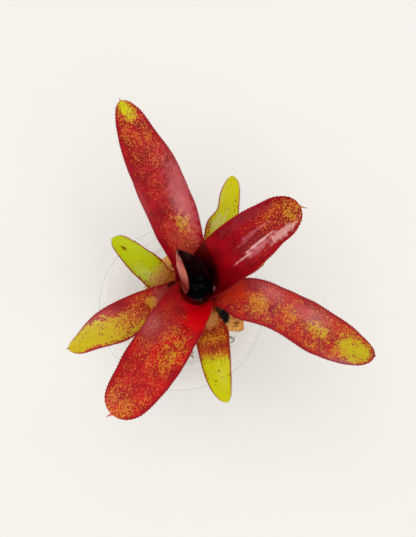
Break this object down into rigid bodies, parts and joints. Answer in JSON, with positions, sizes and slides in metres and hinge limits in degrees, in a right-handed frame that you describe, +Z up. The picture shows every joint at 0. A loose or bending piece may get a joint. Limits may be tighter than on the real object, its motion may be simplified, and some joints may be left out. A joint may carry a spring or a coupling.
{
  "type": "bromeliad in a glass vase",
  "caption": "Neoregelia bromeliad: an open rosette of toothed, strap-shaped leaves round a water-filled cup, growing through a cork stopper on a round clear glass vase",
  "frame": {"origin": "middle of the vase's flat foot, on the surface it stands on", "axes": "+Z up, along the common axis of vase, cork and plant; +X towards the right of the picture and +Y towards its top"},
  "size_m": [0.2473, 0.244, 0.2702],
  "materials": {
    "vase": "clear, polished",
    "cork": "knife-cut cork, granular and matte",
    "stem": "brown, woody and scarred",
    "root": "wiry, matte tan",
    "tank_water": "still dark water",
    "leaf_young": "waxy, dark maroon",
    "leaf_back_right": "waxy, deep crimson with yellow specks",
    "leaf_front": "waxy, red with orange specks",
    "leaf_back_left": "waxy, red with orange specks",
    "leaf_right": "waxy, orange-red with yellow patches",
    "leaf_left": "waxy, red turning yellow-green outwards",
    "leaf_back_small": "waxy, yellow-green with dark specks",
    "leaf_front_small": "waxy, olive-yellow with an orange base",
    "leaf_left_small": "waxy, yellow-green with a red margin",
    "leaf_right_small": "waxy, yellow-green",
    "leaf_dry": "dry, brown and papery"
  },
  "bodies": {
    "root": {"vase": "vase", "cork": "cork", "stem": "stem", "tank_water": "tank_water", "leaf_young": "leaf_young", "leaf_back_right": "leaf_back_right", "leaf_front": "leaf_front", "leaf_back_left": "leaf_back_left", "leaf_right": "leaf_right", "leaf_left": "leaf_left", "leaf_back_small": "leaf_back_small", "leaf_front_small": "leaf_front_small", "leaf_left_small": "leaf_left_small", "leaf_right_small": "leaf_right_small", "leaf_dry": "leaf_dry", "root_1": "root", "root_2": "root", "root_3": "root", "root_4": "root", "root_5": "root", "root_6": "root", "root_7": "root", "root_8": "root"}
  },
  "joints": []
}
